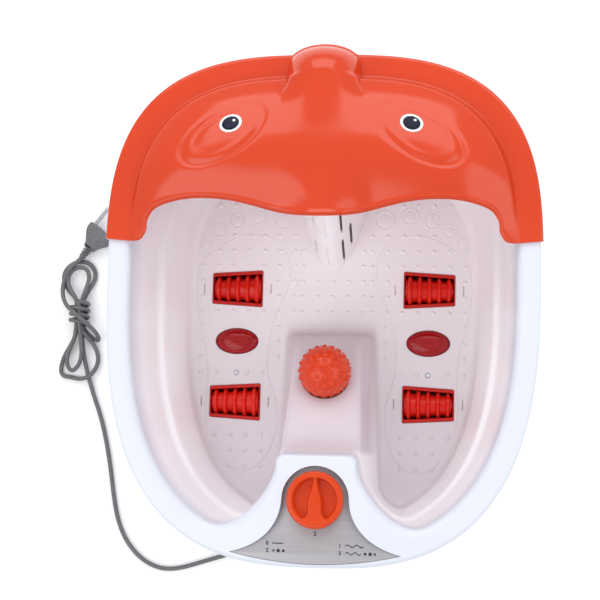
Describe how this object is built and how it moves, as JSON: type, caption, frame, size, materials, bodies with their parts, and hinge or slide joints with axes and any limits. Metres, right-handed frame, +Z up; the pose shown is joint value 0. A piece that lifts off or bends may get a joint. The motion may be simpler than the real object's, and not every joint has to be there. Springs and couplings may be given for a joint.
{
  "type": "foot spa basin",
  "caption": "Foot spa basin with two foot wells, centre island, rotary knob, massage ball and rollers, infrared lenses, a lift-off splash hood and a mains lead.",
  "frame": {"origin": "on the floor, under the middle of the basin and its hood, without the lead", "axes": "+Z up, -Y towards the control knob, +Y towards the hood, +X to the right"},
  "size_m": [0.4206, 0.4284, 0.1833],
  "materials": {
    "white_plastic": "glossy moulded white plastic",
    "hood_orange": "high gloss orange plastic",
    "knob_orange": "glossy orange plastic",
    "ball_orange": "glossy orange plastic",
    "roller_red": "glossy red plastic",
    "cradle_red": "glossy dark red plastic",
    "lens_red": "clear deep red plastic",
    "eye_white": "gloss white print",
    "eye_black": "gloss blue-black print",
    "silver_plate": "satin brushed foil",
    "steel": "plain",
    "cord_grey": "satin grey cable sheath",
    "black_plastic": "matt",
    "rubber": "matt",
    "clear_plastic": "natural plastic",
    "lamp_glass": "clear red glass"
  },
  "bodies": {
    "root": {"air_tube_left": "clear_plastic", "air_tube_right": "clear_plastic", "ball_cup": "clear_plastic", "base_plate": "white_plastic", "base_screw_left_back": "steel", "base_screw_left_front": "steel", "base_screw_right_back": "steel", "base_screw_right_front": "steel", "blower_cover": "black_plastic", "blower_housing": "black_plastic", "blower_motor": "steel", "bubble_nozzle_left": "white_plastic", "bubble_nozzle_right": "white_plastic", "control_plate": "silver_plate", "cord_bundle": "cord_grey", "heater_block": "black_plastic", "heater_element": "steel", "heater_guard": "white_plastic", "infrared_lamp_left": "lamp_glass", "infrared_lamp_right": "lamp_glass", "infrared_lens_left": "lens_red", "infrared_lens_right": "lens_red", "lamp_holder_left": "black_plastic", "lamp_holder_right": "black_plastic", "lens_gasket_left": "rubber", "lens_gasket_right": "rubber", "outer_shell": "white_plastic", "plug_body": "cord_grey", "plug_pin_left": "steel", "plug_pin_right": "steel", "power_cord": "cord_grey", "roller_axle_heel_left": "steel", "roller_axle_heel_right": "steel", "roller_axle_toe_left": "steel", "roller_axle_toe_right": "steel", "roller_cradle_heel_left": "cradle_red", "roller_cradle_heel_right": "cradle_red", "roller_cradle_toe_left": "cradle_red", "roller_cradle_toe_right": "cradle_red", "rubber_foot_left_back": "rubber", "rubber_foot_left_front": "rubber", "rubber_foot_right_back": "rubber", "rubber_foot_right_front": "rubber", "strain_relief": "cord_grey", "switch_body": "black_plastic", "terminal_block": "clear_plastic", "tub": "white_plastic"},
    "hood": {"splash_hood": "hood_orange", "eye_white_left": "eye_white", "eye_white_right": "eye_white", "eye_pupil_left": "eye_black", "eye_pupil_right": "eye_black"},
    "knob": {"control_knob": "knob_orange", "switch_shaft": "steel"},
    "ball": {"massage_ball": "ball_orange"},
    "blower_wheel": {"impeller": "clear_plastic"},
    "roller_toe_left": {"massage_roller_toe_left": "roller_red"},
    "roller_heel_left": {"massage_roller_heel_left": "roller_red"},
    "roller_toe_right": {"massage_roller_toe_right": "roller_red"},
    "roller_heel_right": {"massage_roller_heel_right": "roller_red"}
  },
  "joints": [
    {"name": "hood_lift", "type": "slide", "parent": "root", "child": "hood", "axis": [0, 0, 1], "range_m": [0, 0.12]},
    {"name": "knob_turn", "type": "hinge", "parent": "root", "child": "knob", "pos_m": [0, -0.154, 0.158], "axis": [0, 0, 1], "range_deg": [-90, 180]},
    {"name": "ball_roll", "type": "hinge", "parent": "root", "child": "ball", "pos_m": [0, -0.052, 0.097], "axis": [1, 0, 0], "continuous": true},
    {"name": "blower_spin", "type": "hinge", "parent": "root", "child": "blower_wheel", "pos_m": [0, -0.101, 0.02], "axis": [0, 0, 1], "continuous": true},
    {"name": "roller_spin_toe_left", "type": "hinge", "parent": "root", "child": "roller_toe_left", "pos_m": [-0.0825, 0.0225, 0.0252], "axis": [1, 0, 0], "continuous": true},
    {"name": "roller_spin_heel_left", "type": "hinge", "parent": "root", "child": "roller_heel_left", "pos_m": [-0.0825, -0.075, 0.0252], "axis": [1, 0, 0], "continuous": true},
    {"name": "roller_spin_toe_right", "type": "hinge", "parent": "root", "child": "roller_toe_right", "pos_m": [0.0825, 0.0225, 0.0252], "axis": [1, 0, 0], "continuous": true},
    {"name": "roller_spin_heel_right", "type": "hinge", "parent": "root", "child": "roller_heel_right", "pos_m": [0.0825, -0.075, 0.0252], "axis": [1, 0, 0], "continuous": true}
  ]
}
